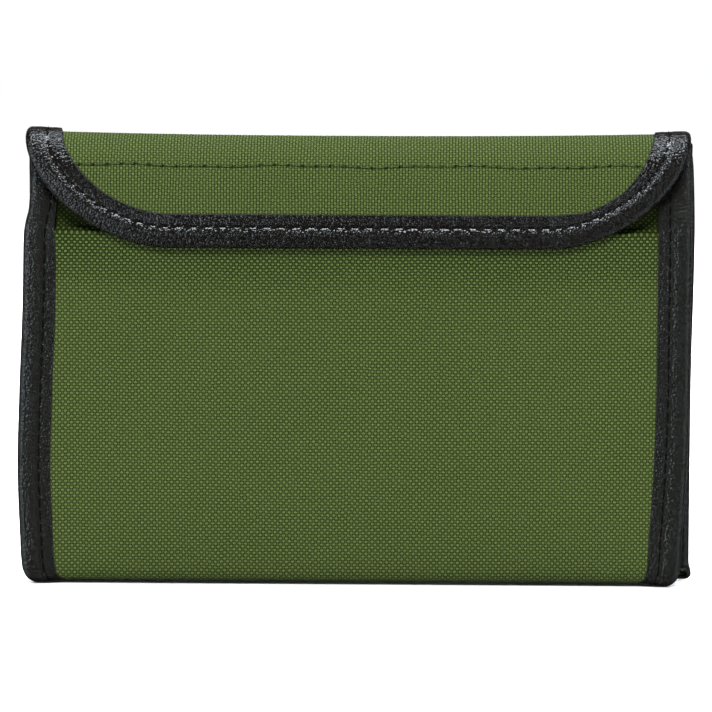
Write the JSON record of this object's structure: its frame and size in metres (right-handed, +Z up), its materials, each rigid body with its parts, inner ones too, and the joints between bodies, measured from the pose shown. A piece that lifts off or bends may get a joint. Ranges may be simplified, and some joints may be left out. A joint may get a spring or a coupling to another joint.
{
  "type": "fishing lure bag",
  "caption": "Slim pouch of coarse olive cloth for fishing lures, with a round-cornered flap and edges bound in black grained tape.",
  "frame": {"origin": "middle of the bag's bounding box on the surface it stands on", "axes": "+X to the right seen from the front, +Y from the front to the back, +Z up"},
  "size_m": [0.23, 0.0309, 0.155],
  "materials": {
    "cloth": "coarse plain weave, matte",
    "tape": "fine grained vinyl, low sheen",
    "gusset": "fine grained vinyl, low sheen"
  },
  "bodies": {
    "root": {"body_panel": "cloth", "front_binding_left": "tape", "front_binding_right": "tape", "back_flap_binding": "tape", "gusset_left": "gusset", "gusset_right": "gusset"}
  },
  "joints": []
}
